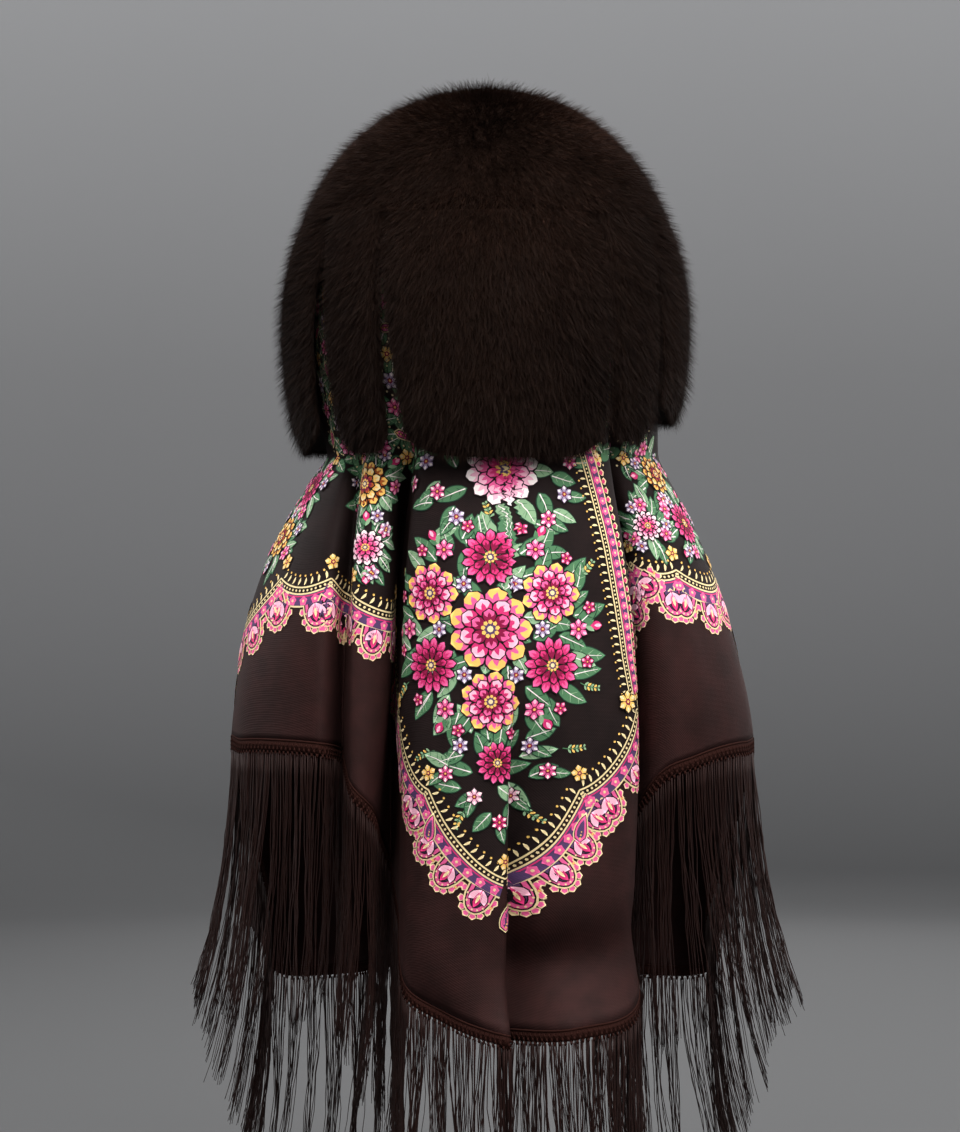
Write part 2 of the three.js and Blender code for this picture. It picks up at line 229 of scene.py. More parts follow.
# The shawl's surface
def along_folds(t, column):
    """A column of FOLDS at any t, on a smooth curve through its values."""
    values = FOLDS[:, FOLD_COLUMNS.index(column)]
    k = np.clip(np.floor(t).astype(int), 0, LAST_FOLD - 1)
    f = t - k
    a, b, c, d = (values[np.clip(k + n, 0, LAST_FOLD)] for n in (-1, 0, 1, 2))
    f2, f3 = f * f, f * f * f
    slopes = (f3 - 2 * f2 + f) * (c - a) / 2 + (f3 - f2) * (d - b) / 2
    return (2 * f3 - 3 * f2 + 1) * b + (3 * f2 - 2 * f3) * c + slopes


def on_oval(turn, radius):
    """x and y at so many degrees from the middle of the back."""
    angle = np.radians(turn)
    return np.stack([radius * np.sin(angle), -radius * DEPTH * np.cos(angle)], -1)


def shawl_point(t, z, sinking=1):
    """The middle of the cloth's wall, without small creases."""
    t, z = np.broadcast_arrays(np.asarray(t, float), np.asarray(z, float))
    neck = on_oval(along_folds(t, "turn"), NECK_RADIUS - along_folds(t, "inset"))
    seam = on_oval(lerp(-SEAM_TURN, SEAM_TURN, t / LAST_FOLD), np.full(t.shape, float(SEAM_RADIUS)))
    down = np.clip((SEAM_Z - z) / (SEAM_Z - NECK_Z), 0, 1)[..., None]
    collar = lerp(seam, neck, down ** 3.5)
    collar = collar + unit(collar) * FULLNESS * np.sin(math.pi * down)
    flare = lerp(FLARE, LATE_FLARE, np.exp(-(((t - LATE_FOLD) / LATE_SPREAD) ** 2)))
    opened = 1 - (1 - np.clip((NECK_Z - z) / (NECK_Z - SKIRT_Z), 0, 1)) ** flare
    sunk = sinking * smooth((SINK_FROM_Z - z) / (SINK_FROM_Z - SINK_FULL_Z))
    x = along_folds(t, "x") + sunk * along_folds(t, "sink_x")
    y = along_folds(t, "y") + sunk * along_folds(t, "sink_y")
    flat = lerp(collar, np.stack([x, y], -1), opened[..., None])
    above = np.maximum(z - along_folds(t, "hem"), 0)
    belly = along_folds(t, "belly") * np.exp(-(((above - BELLY_ABOVE) / BELLY_SPREAD) ** 2))
    toe = along_folds(t, "toe") * np.exp(-above / TOE_REACH)
    flat = flat + unit(flat) * np.where(z < NECK_Z, belly + toe, 0)[..., None]
    return np.concatenate([flat, z[..., None]], -1)


def creases(t, z):
    """Small folds that the wool has between its main ones."""
    below = np.clip((NECK_Z - z) / 60, 0, 1)
    pulled = np.sin(5.1 * t + 0.021 * z) * np.exp(-(NECK_Z - z) / 90)
    broad = np.sin(2.3 * t + 0.013 * z + 1.0) * np.sin(0.9 * t - 0.028 * z)
    fine = np.sin(7.7 * t - 0.035 * z) * np.sin(3.1 * t + 0.05 * z + 2)
    return below * (1.2 * pulled + 1.3 * broad + 0.3 * fine)


def shawl_surface(t, z, offset=0.0):
    """The cloth with its small creases, at an offset outwards."""
    across = shawl_point(t + SLOPE_T, z) - shawl_point(t - SLOPE_T, z)
    down = shawl_point(t, z - SLOPE_Z) - shawl_point(t, z + SLOPE_Z)
    normal = unit(np.cross(down, across))
    room = np.clip(np.linalg.norm(across, axis=-1) / (2 * SLOPE_T * CREASE_ROOM), 0, 1) ** 2
    return shawl_point(t, z) + normal * np.asarray(room * creases(t, z) + offset)[..., None]


def make_shawl(materials):
    t = np.linspace(0, LAST_FOLD, LAST_FOLD * CLOTH_STEPS + 1)[:, None]
    share = np.linspace(0, 1, CLOTH_ROWS + 1)[None, :]
    z = lerp(SEAM_Z, along_folds(t, "hem"), share)
    t = np.broadcast_to(t, z.shape)
    layers = [shawl_surface(t, z, side * CLOTH_HALF).reshape(-1, 3) for side in (1, -1)]
    index = np.arange(z.size).reshape(z.shape)
    quads = open_faces(index)
    rim = np.concatenate([index[0, :], index[1:, -1], index[-1, -2::-1], index[-2:0:-1, 0]])
    after = np.roll(rim, -1)
    edge = np.stack([after, rim, rim + z.size, after + z.size], -1)
    faces = [quads, quads[:, ::-1] + z.size, edge]
    dark = (z.ravel() > ground_edge(t.ravel()))[quads].all(1)
    slots = np.concatenate([dark, np.zeros(len(quads) + len(edge))])
    return add_mesh("shawl_cloth", np.concatenate(layers), faces, materials, slots)


# Distance along each row of the shawl, to lay flat shapes on it. The back crease counts as flat.
LOWEST_ROW, ROW_STEP = -676, 4.0
ROWS = np.arange(LOWEST_ROW, SEAM_Z, ROW_STEP)
ROW_COLUMNS = 24  # for each fold


def row_tables():
    """The distance from the front left edge at each row and column, and the t at each millimetre."""
    t = np.linspace(0, LAST_FOLD, LAST_FOLD * ROW_COLUMNS + 1)
    rows = shawl_point(t[None, :], ROWS[:, None], sinking=0)
    steps = np.linalg.norm(np.diff(rows, axis=1), axis=2)
    lengths = np.concatenate([np.zeros((len(ROWS), 1)), np.cumsum(steps, axis=1)], 1)
    marks = np.arange(0, lengths.max() + 2, 1.0)
    return lengths, np.stack([np.interp(marks, row, t) for row in lengths])


ROW_LENGTHS, TURNS = row_tables()


def between(table, row, column):
    """table at whole and part numbers of rows and columns."""
    row = np.clip(row, 0, table.shape[0] - 1.001)
    column = np.clip(column, 0, table.shape[1] - 1.001)
    r, c = row.astype(int), column.astype(int)
    fr, fc = row - r, column - c
    upper = lerp(table[r, c], table[r, c + 1], fc)
    lower = lerp(table[r + 1, c], table[r + 1, c + 1], fc)
    return lerp(upper, lower, fr)


def beside(t0, distance, z):
    """The t that lies that far to the right of t0 in the row at z."""
    row = (z - ROWS[0]) / ROW_STEP
    start = between(ROW_LENGTHS, row, np.full(z.shape, float(t0 * ROW_COLUMNS)))
    return between(TURNS, row, start + distance)


def along_row(t0, t, z):
    """How far t lies to the right of t0 in the row at z."""
    row = np.full(2, (z - ROWS[0]) / ROW_STEP)
    start, end = between(ROW_LENGTHS, row, np.array([t0, t], float) * ROW_COLUMNS)
    return end - start


def at_x(x, z, low, high):
    """The t from low to high at which the shawl's row at z has that x."""
    t = np.linspace(low, high, 200)
    row = shawl_point(t, np.full(t.shape, float(z)), sinking=0)[:, 0]
    return float(t[np.argmin(np.abs(row - x))])


# The print's shapes. Each is points, levels, triangles and colours, flat, in millimetres right and up.
PALETTE = list(PRINT_COLOURS)


def shape(points, triangles, level, colour):
    tints = np.full(len(triangles), PALETTE.index(colour))
    return points, np.full(len(points), float(level)), triangles, tints


def together(*shapes):
    points, levels, triangles, tints = zip(*shapes)
    starts = np.cumsum([0, *map(len, points[:-1])])
    triangles = [corners + start for corners, start in zip(triangles, starts)]
    return tuple(map(np.concatenate, (points, levels, triangles, tints)))


def polar(distance, angle):
    """x and y at that distance and angle in degrees."""
    return distance * math.cos(math.radians(angle)), distance * math.sin(math.radians(angle))


def moved(drawn, x=0.0, y=0.0, turn=0.0, scale=1.0, level=0.0):
    points, levels, triangles, colours = drawn
    c, s = math.cos(math.radians(turn)) * scale, math.sin(math.radians(turn)) * scale
    turned = points @ np.array([[c, s], [-s, c]]) + [x, y]
    return turned, levels + level, triangles, colours


def strip(left, right, columns, level, colour):
    """A band between two lines of as many points."""
    share = np.linspace(0, 1, columns + 1)[None, :, None]
    grid = lerp(left[:, None], right[:, None], share)
    n = len(left)
    quads = open_faces(np.arange(n * (columns + 1)).reshape(n, columns + 1))
    return shape(grid.reshape(-1, 2), np.concatenate([quads[:, :3], quads[:, [0, 2, 3]]]), level, colour)


def normals_2d(path):
    tangent = unit(np.gradient(path, axis=0))
    return np.stack([-tangent[:, 1], tangent[:, 0]], -1)


def line(path, width, level, colour, offset=0.0):
    """A line along the path, at an offset to its left. width is one number or one for each point."""
    side = normals_2d(path)
    half = (np.asarray(width, float) * np.ones(len(path)))[:, None] / 2
    middle = path + side * offset
    return strip(middle + side * half, middle - side * half, 1, level, colour)


def dot(x, y, radius, level, colour, sides=5):
    angle = 2 * math.pi * np.arange(sides) / sides
    edge = np.stack([x + radius * np.cos(angle), y + radius * np.sin(angle)], -1)
    k = np.arange(sides)
    triangles = np.stack([np.full(sides, sides), k, (k + 1) % sides], -1)
    return shape(np.concatenate([edge, [[x, y]]]), triangles, level, colour)


def petal(angle, inner, outer, width, level, colour, full=1.5, bend=0.0, x=0.0, y=0.0):
    """A petal along a line that leaves the point x, y at that angle. full moves its widest place outwards."""
    length = outer - inner
    share = np.linspace(0, 1, max(4, math.ceil(length / 4) + 2))
    half = np.maximum(np.sin(math.pi * share ** full), 0) ** 0.75 * width / 2
    axis = np.stack([inner + length * share, bend * length * share ** 2], -1)
    side = normals_2d(axis) * half[:, None]
    drawn = strip(axis + side, axis - side, 2 if width > 8 else 1, level, colour)
    return moved(drawn, x, y, angle)


def ring(count, phase=0.0):
    return [phase + 360 * k / count for k in range(count)]


def large_flower(rings, radius, phase=0.0):
    """Petals in rings. Each ring has a count, inner and outer shares of the radius, and two colours."""
    parts = []
    level = 0
    for number, (count, inner, outer, colour, tip) in enumerate(rings):
        a, b = inner * radius, outer * radius
        width = 2 * math.pi * lerp(a, b, 0.62) / count
        for angle in ring(count, phase + 17 * number):
            parts += [
                petal(angle, a - 0.5, b + 0.8, width + 1.5, level, "night"),
                petal(angle, a, b, width - 0.7, level + 1, colour),
                petal(angle, lerp(a, b, 0.48), b - 0.2, (width - 0.7) * 0.86, level + 2, tip, 1.15),
                petal(angle, lerp(a, b, 0.3), lerp(a, b, 0.82), width * 0.3, level + 3, colour, 0.8),
            ]
        level += 4
    heart = 0.17 * radius
    parts.append(dot(0, 0, heart, level, "plum", 10))
    for angle in ring(9, 10):
        parts.append(dot(*polar(heart, angle), 0.055 * radius, level + 1, "gold"))
    return together(*parts, dot(0, 0, heart * 0.45, level + 1, "cream", 8))


def small_flower(radius, colour, tip, petals=6):
    parts = []
    width = 2 * math.pi * 0.6 * radius / petals
    for angle in ring(petals, 30):
        parts += [
            petal(angle, 0, radius + 0.7, width + 1.4, 0, "night"),
            petal(angle, 0.1 * radius, radius, width - 0.2, 1, colour),
            petal(angle, 0.5 * radius, radius - 0.3, width * 0.5, 2, tip, 1.1),
        ]
    return together(*parts, dot(0, 0, 0.3 * radius, 3, "wine", 8), dot(0, 0, 0.14 * radius, 4, "gold"))


def floret(radius):
    """The smallest flower, of one ring of petals."""
    parts = [petal(angle, 0, radius, 0.9 * radius, 0, "pink", 1.3) for angle in ring(5, 18)]
    return together(*parts, dot(0, 0, 0.3 * radius, 1, "cream"))


def leaf(length, width, bend, colour="leaf", light="sage"):
    parts = [
        petal(0, -0.6, length + 0.8, width + 1.4, 0, "pine", 0.85, bend),
        petal(0, 0, length, width, 1, colour, 0.85, bend),
    ]
    share = np.linspace(0.05, 0.9, 7)
    rib = np.stack([length * share, bend * length * share ** 2], -1)
    for k in (1, 3, 5):
        for lean in (1, -1):
            reach = 0.4 * width * math.sin(math.pi * share[k] ** 0.85)
            end = rib[k] + [reach * 0.8, lean * reach]
            parts.append(line(np.array([rib[k], end]), [0.7, 0.3], 2, light))
    return together(*parts, line(rib, np.linspace(0.9, 0.3, 7), 3, "milk"))


def bud(length):
    return together(
        petal(0, 0.3 * length, length + 0.7, 0.5 * length + 1.4, 0, "night", 1.1),
        petal(0, 0.32 * length, length, 0.5 * length, 1, "rose", 1.1),
        petal(0, 0.55 * length, length - 0.5, 0.22 * length, 2, "blush", 1.1),
        petal(24, 0, 0.62 * length, 0.26 * length, 3, "leaf", 1, 0.1),
        petal(-24, 0, 0.62 * length, 0.26 * length, 3, "sage", 1, -0.1),
    )


def sprig(length, bend):
    share = np.linspace(0, 1, 9)
    stem = np.stack([length * share, bend * length * share ** 2], -1)
    parts = [line(stem, 0.7, 0, "leaf")]
    for k in range(5):
        s = lerp(0.25, 1.0, k / 4)
        x, y = length * s, bend * length * s * s
        slope = math.degrees(math.atan(2 * bend * s))
        size = lerp(4.6, 2.6, s)
        for lean in (48, -48):
            colour = "gold" if k % 2 else "sage"
            parts.append(petal(slope + lean, 0.4, size, 1.7, 1, colour, 1.1, x=x, y=y))
    return together(*parts)


# The border's repeats, drawn hanging down from a level line
def tulip_lobe(width, depth):
    """A hanging lobe with a tulip in it, and dots round its edge."""
    angle = np.linspace(0, math.pi, 11)
    parts = []
    # Inset from the edge, level and colour
    fields = ((0, 0, "cream"), (0.9, 1, "night"), (1.6, 2, "pink"), (3.6, 3, "night"), (4.2, 4, "plum"))
    for inset, level, colour in fields:
        half, deep = width / 2 - inset, depth - inset
        edge = np.stack([half * np.cos(angle), -deep * np.sin(angle) ** 0.8], -1)
        base = np.stack([edge[:, 0], np.zeros(11)], -1)
        parts.append(strip(base, edge, 2, level, colour))
    for tilt, length, colour in ((-90, 0.74, "rose"), (-58, 0.6, "blush"), (-122, 0.6, "blush")):
        parts.append(petal(tilt, 0, length * depth + 0.5, 0.26 * width + 1, 5, "night", 1.2))
        parts.append(petal(tilt, 0.5, length * depth, 0.24 * width, 6, colour, 1.2))
    parts.append(petal(-90, 0.2 * depth, 0.58 * depth, 0.1 * width, 7, "cream", 1))
    for turn in np.linspace(0.16, math.pi - 0.16, 8):
        x, y = width / 2 * math.cos(turn), -depth * math.sin(turn) ** 0.8
        outward = math.degrees(math.atan2(y / depth ** 2, x / (width / 2) ** 2))
        for reach, wide, level, colour in ((2.9, 4.4, -2, "cream"), (2.3, 3.2, -1, "pink")):
            parts.append(petal(outward, -1, reach, wide, level, colour, 1.3, x=x, y=y))
    for turn in np.linspace(0.35, math.pi - 0.35, 7):
        x, y = 0.4 * width * math.cos(turn), -0.82 * depth * math.sin(turn) ** 0.8
        parts.append(dot(x, y, 0.6, 4, "cream"))
    return together(*parts)


def paisley(size, inside="plum"):
    """A drop with a curled tip, lying along +x."""
    parts = []
    for inset, level, tint in ((0, 0, "cream"), (0.8, 1, "night"), (1.4, 2, "pink"), (2.9, 3, inside)):
        wide, end = 0.58 * size - 2 * inset, (size - inset) * 0.75 - inset
        parts.append(petal(180, -0.42 * size + inset, end, wide, level, tint, 0.62, -0.22))
    for k in range(3):
        parts.append(dot(0.22 * size - 2.3 * k, 0.03 * k * size, 0.85 - 0.15 * k, 4, "gold"))
    return together(*parts)


def tassel(length):
    return together(
        petal(-90, 0, length, 0.42 * length, 0, "cream", 1.4),
        petal(-90, 0.8, length - 0.8, 0.42 * length - 1.4, 1, "rose", 1.4),
        dot(0, -0.62 * length, 0.1 * length, 2, "gold"),
        dot(0, -length - 1.4, 0.9, 0, "cream"),
    )


def resampled(path, step):
    """The path with points as near to step apart as fits."""
    run = np.concatenate([[0], np.cumsum(np.linalg.norm(np.diff(path, axis=0), axis=1))])
    count = max(2, int(round(run[-1] / step)) + 1)
    at = np.linspace(0, run[-1], count)
    return np.stack([np.interp(at, run, path[:, k]) for k in range(2)], -1)


def swag(start, end, sag):
    """A hanging line between two places."""
    share = np.linspace(0, 1, 24)[:, None]
    hang = np.array([[0, -4 * sag]]) * share * (1 - share)
    return lerp(start, end, share) + hang


def repeats(path, step, motif, offset):
    """The motif along the path, its own +x along it. A negative offset lies to the right, below it."""
    even = resampled(path, step)
    middle = (even[1:] + even[:-1]) / 2
    along = even[1:] - even[:-1]
    placed = []
    for (x, y), (dx, dy) in zip(middle, along):
        shift = offset / math.hypot(dx, dy)
        placed.append(moved(motif, x - dy * shift, y + dx * shift, math.degrees(math.atan2(dy, dx))))
    return placed


def border(path, size=1.0, lobes=True):
    """A band whose ornament hangs below a path that goes from left to right."""
    path = path / size
    fine = resampled(path, 3)
    # Width, level, colour and offset
    lines = (
        (0.9, 2, "cream", 0.0), (0.9, 2, "cream", -3.6), (6.4, 2, "plum", -7.2),
        (0.7, 3, "rose", -5.0), (0.9, 3, "cream", -10.4),
    )
    parts = [
        *(line(fine, *values) for values in lines),
        *repeats(path, 2.6, dot(0, 0, 0.75, 2, "cream"), -1.8),
        *repeats(path, 5.2, petal(60, 0, 4.2, 1.5, 2, "cream", 1.2, 0.3), 1.0),
        *repeats(path, 5.2, dot(0, 0, 0.7, 2, "gold"), 6.2),
        *repeats(path, 6.8, moved(floret(2.8), level=3), -7.6),
    ]
    if lobes:
        parts += repeats(path, 16.5, moved(tulip_lobe(16.2, 14.5), level=4), -10.8)
        parts += repeats(path, 16.5, moved(tassel(7), 8.2, 0, level=2), -13.0)
    else:
        for reach, wide, level, colour in ((4.6, 5.0, 2, "cream"), (3.6, 3.6, 3, "rose")):
            parts += repeats(path, 6.0, petal(-90, 0, reach, wide, level, colour, 1.3), -10.8)
    return moved(together(*parts), scale=size)


# Rings of petals, as large_flower takes them
PEONY = ((9, 0.36, 1.0, "pink", "gold"), (8, 0.2, 0.74, "rose", "blush"), (6, 0.05, 0.48, "wine", "pink"))
ROSETTE = (
    (12, 0.4, 1.0, "blush", "milk"), (10, 0.22, 0.74, "pink", "blush"), (7, 0.06, 0.46, "rose", "pink"),
)
MARIGOLD = (
    (11, 0.4, 1.0, "rust", "gold"), (9, 0.22, 0.74, "gold", "cream"), (7, 0.06, 0.46, "wine", "rust"),
)
ASTER = ((14, 0.34, 1.0, "rose", "pink"), (10, 0.18, 0.66, "wine", "rose"))
GOLDEN_ANGLE = 137.5


def around(count, distance, motif, phase=0.0, level=0.0):
    """Copies of a motif round a middle, each turned outwards."""
    placed = []
    for angle in ring(count, phase):
        placed.append(moved(motif, *polar(distance, angle), angle, level=level))
    return placed


def foliage(random, radius, count, size=1.0):
    """Leaves that fill a round place, set like a sunflower's seeds and pointing outwards."""
    parts = []
    for k in range(count):
        angle = GOLDEN_ANGLE * k
        x, y = polar(radius * math.sqrt((k + 0.5) / count), angle)
        pair = (("leaf", "sage"), ("leaf", "pine"), ("sage", "leaf"))[k % 3]
        length, width = size * random.uniform(14, 19), size * random.uniform(6.5, 8.5)
        drawn = leaf(length, width, random.uniform(-0.25, 0.25), *pair)
        parts.append(moved(drawn, x, y, angle + random.uniform(-50, 50), level=4 * (k % 2)))
    return together(*parts)


def wreath(random, leaves=64):
    """One large flower, six round it, and leaves and small flowers between and outside."""
    parts = [
        foliage(random, 68, leaves, 1.35),
        *around(15, 62, leaf(25, 11.5, 0.16), 9),
        *around(6, 70, bud(13), 2, 8),
        moved(large_flower(PEONY, 30), level=9),
        *around(3, 51, large_flower(ASTER, 20), 90, 9),
        *around(3, 51, large_flower(PEONY, 22, 8), 30, 9),
        *around(6, 37, small_flower(6.2, "lilac", "milk"), 0, 10),
        *around(6, 65, small_flower(7.4, "pink", "blush"), 0, 10),
        *around(12, 75, small_flower(4.8, "rose", "blush", 5), 12, 10),
        *around(6, 76, sprig(13, 0.25), 30, 8),
    ]
    return together(*parts)


def posy(random, kind, radius):
    """One flower on leaves, with small ones and two buds at its side."""
    parts = [
        foliage(random, radius * 1.35, 13),
        *around(8, radius * 0.85, leaf(radius * 1.1, radius * 0.5, 0.15), 20),
        moved(large_flower(kind, radius, 9), level=9),
        *around(3, radius * 1.4, small_flower(5.8, "pink", "blush"), random.uniform(0, 360), 9),
        *around(3, radius * 1.5, small_flower(5, "lilac", "milk"), random.uniform(0, 360), 10),
        *around(2, radius * 1.2, bud(11), random.uniform(0, 360), 8),
    ]
    return together(*parts)


# Where the border's swags are tied up, as t and z, from the front left edge to the front right one
SUPPORTS = (
    (0.15, -528), (1.6, -526), (3.0, -508), (4.3, -442), (5.2, -388), (6.2, -352), (7.15, -352),
    (8.8, -362), (10.35, -374), (11.4, -404), (12.75, -452), (13.72, -502), (15.02, -564),
    (17.2, -502), (18.0, -446), (18.7, -404), (19.75, -340), (21.0, -346), (22.3, -352),
    (23.1, -380), (23.8, -434), (25.0, -508), (26.4, -526), (27.85, -528),
)
BACK_SUPPORTS = SUPPORTS[11:14]
BORDER_SIZE = 1.35
SAG = 0.14  # of a swag, as a share of its width
GROUND_INSET = 9  # how far below a swag's line the dark ground reaches

# The other places are the x and z of a motif's middle on a part of the shawl, given by the range of its t
BACK, LEFT_SIDE, LEFT_MIDDLE, RIGHT_SIDE = (12.6, 18.2), (5.3, 7.2), (8.7, 10.6), (19.8, 22.7)
PRINT_SEED = 5
CHAIN = ((101, -436), (96, -410), (91, -370), (85, -330), (78, -290), (70, -250))
CHAIN_MIDDLE, CHAIN_SIZE = (90, -360), 1.1
BACK_FLOWERS = (
    (-34, -290, "pink"), (56, -292, "lilac"), (-20, -308, "lilac"), (44, -310, "pink"),
    (-42, -268, "lilac"), (-54, -284, "pink"), (60, -268, "pink"),
)
CORNER_FLOWERS = (
    (-18, -470, "lilac"), (34, -470, "lilac"), (-28, -490, "pink"), (46, -488, "pink"),
    (-8, -506, "blush"), (26, -506, "blush"), (9, -524, "rose"),
)
CORNER_SPRIGS = ((-36, -474, 190), (54, -472, -10), (-14, -514, 230), (32, -514, -50))
POSIES = (
    (LEFT_SIDE, -150, -322, MARIGOLD, 15), (LEFT_SIDE, -128, -286, ASTER, 13),
    (LEFT_MIDDLE, -86, -284, MARIGOLD, 17), (LEFT_MIDDLE, -86, -330, ROSETTE, 13),
    (RIGHT_SIDE, 124, -276, MARIGOLD, 14), (RIGHT_SIDE, 146, -312, ASTER, 15),
    (RIGHT_SIDE, 118, -314, ROSETTE, 11),
)
# t, z, kind and radius on the left front, which the right front mirrors
FRONT_POSIES = (
    (0.6, -462, MARIGOLD, 15), (0.95, -352, ROSETTE, 16), (2.3, -318, ASTER, 15),
    (3.95, -396, MARIGOLD, 15), (4.3, -312, ROSETTE, 15),
)
FRONT_WREATH_T, FRONT_WREATH_Z = 2.5, -432
# The t and z of the small motifs that show between the flaps of fur
SLITS = (6.5, 7.3, 8.1, 9.8, 10.6, 11.4, 17.6, 18.4, 20.2, 21.1)
SLIT_ROWS = (-152, -171, -190, -209, -228, -247, -264)


def swags():
    """Each swag of the border as the t of its home, the height of its middle and its flat line."""
    found = []
    for (t_a, z_a), (t_b, z_b) in zip(SUPPORTS, SUPPORTS[1:]):
        home, middle = (t_a + t_b) / 2, (z_a + z_b) / 2
        start = np.array([along_row(home, t_a, z_a), z_a - middle])
        end = np.array([along_row(home, t_b, z_b), z_b - middle])
        found.append((home, middle, swag(start, end, SAG * math.dist(start, end))))
    return found


def ground_edge(t):
    """The height at t where the print's dark ground ends, which the border covers."""
    marks = []
    for home, middle, path in swags():
        height = path[:, 1] + middle
        marks.append(np.stack([beside(home, path[:, 0], height), height - GROUND_INSET]))
    marks = np.concatenate(marks, 1)
    return np.interp(t, *marks[:, np.argsort(marks[0])])


def thicket(random, kind):
    """Leaves and dots round a small motif."""
    tops = (
        small_flower(6.6, "pink", "blush"), paisley(13, "wine"),
        small_flower(6.2, "gold", "cream", 5), small_flower(6.6, "lilac", "milk"),
    )
    parts = [
        *around(3, 2.5, leaf(14, 8, random.uniform(-0.2, 0.3)), random.uniform(0, 90)),
        moved(tops[kind % 4], turn=random.uniform(0, 360), level=9),
    ]
    for angle in ring(6, random.uniform(0, 60)):
        parts.append(dot(*polar(8.6, angle), 0.8, 9, "cream"))
    return together(*parts)


def composition():
    """The t of each motif's middle, its height, and the motif."""
    random = np.random.default_rng(PRINT_SEED)
    laid = []

    def lay(drawn, t, z, turn=0.0, scale=1.0, level=0.0):
        laid.append((t, z, moved(drawn, 0, 0, turn, scale, level)))

    def put(drawn, x, z, part, turn=0.0, level=0.0):
        lay(drawn, at_x(x, z, *part), z, turn, level=level)

    # The back
    put(wreath(random), 4, -388, BACK)
    put(foliage(random, 50, 30, 1.3), 6, -284, BACK)
    put(large_flower(ROSETTE, 27, 11), 12, -274, BACK, level=9)
    for x, z, colour in BACK_FLOWERS:
        put(leaf(17, 8, 0.2), x, z, BACK, turn=-90 + 1.6 * (x - 12), level=5)
        put(small_flower(6.4, colour, "milk"), x, z, BACK, level=9)
    put(foliage(random, 34, 18, 1.3), 7, -486, BACK)
    put(large_flower(ASTER, 15), 8, -482, BACK, level=9)
    for x, z, colour in CORNER_FLOWERS:
        put(leaf(15, 7, 0.2), x, z, BACK, turn=-90 + 1.9 * (x - 8), level=5)
        put(small_flower(6, colour, "milk"), x, z, BACK, level=9)
    for x, z, turn in CORNER_SPRIGS:
        put(sprig(15, 0.2), x, z, BACK, turn=turn)

    # The border, with a flower at each of its ties, and a chain up the edge of the back
    for home, middle, path in swags():
        lay(border(path, BORDER_SIZE), home, middle)
    for t, z in SUPPORTS:
        lay(small_flower(6, "gold", "cream", 5), t, z + 12, level=4)
    for t, z in BACK_SUPPORTS:
        lay(paisley(19), t, z - 30, turn=-90, level=10)
    chain = np.array(CHAIN, float) - CHAIN_MIDDLE
    put(border(chain, CHAIN_SIZE, False), *CHAIN_MIDDLE, BACK, level=10)
    put(small_flower(8, "gold", "cream"), 100, -440, BACK, level=16)

    # The sides and the front
    for part, x, z, kind, radius in POSIES:
        put(posy(random, kind, radius), x, z, part)
    for t, z, kind, radius in FRONT_POSIES:
        lay(posy(random, kind, radius), t, z)
        lay(posy(random, kind, radius), LAST_FOLD - t, z)
    for t in (FRONT_WREATH_T, LAST_FOLD - FRONT_WREATH_T):
        lay(wreath(random, 26), t, FRONT_WREATH_Z, scale=0.6)

    # What shows between the flaps of fur
    for column, t in enumerate(SLITS):
        for row, z in enumerate(SLIT_ROWS):
            lay(thicket(random, row + 2 * column), t, z + 8 * (column % 2), level=4 * ((row + column) % 2))
    return laid


def refined(drawn, chosen):
    """The shape with each of its chosen triangles cut into four."""
    flat, levels, triangles, colours = drawn
    a, b, c = triangles[chosen].T
    ab, bc, ca = len(flat) + np.arange(3 * len(a)).reshape(3, -1)
    sides = ((a, b), (b, c), (c, a))
    flat, levels = (
        np.concatenate([values, *((values[start] + values[end]) / 2 for start, end in sides)])
        for values in (flat, levels)
    )
    quarters = [np.stack(k, -1) for k in ((a, ab, ca), (ab, b, bc), (ca, bc, c), (ab, bc, ca))]
    triangles = np.concatenate([triangles[~chosen], *quarters])
    return flat, levels, triangles, np.concatenate([colours[~chosen], np.tile(colours[chosen], 4)])


def make_print(materials):
    parts, slots = [], []
    for t0, z0, drawn in composition():
        t = beside(t0, drawn[0][:, 0], z0 + drawn[0][:, 1])
        at_crease = np.abs(t[drawn[2]].mean(1) - FINE_MIDDLE) < FINE_REACH
        flat, levels, triangles, colours = refined(drawn, at_crease)
        z = z0 + flat[:, 1]
        t = beside(t0, flat[:, 0], z)
        lift = CLOTH_HALF + PRINT_LIFT + PRINT_LEVEL * levels
        off_edges = (t > EDGE_MARGIN) & (t < LAST_FOLD - EDGE_MARGIN)
        inside = off_edges & (z > along_folds(t, "hem") + HEM_MARGIN)
        kept = inside[triangles].all(1)
        parts.append((shawl_surface(t, z, lift), [triangles[kept]]))
        slots.append(colours[kept])
    dyes = [materials[name] for name in PALETTE]
    return add_mesh("shawl_print", *joined(parts), dyes, np.concatenate(slots))


# The fringe
def hem_line(first, last):
    """Gives the length of the hem between two folds, and what finds places below it."""
    t = np.linspace(first, last, 4000)
    hem = shawl_surface(t, along_folds(t, "hem"))
    run = np.concatenate([[0], np.cumsum(np.linalg.norm(np.diff(hem, axis=0), axis=1))])

    def under_hem(distance, drop):
        point = np.stack([np.interp(distance, run, hem[:, k]) for k in range(3)], -1)
        point[..., 2] -= drop
        return point

    return run[-1], under_hem


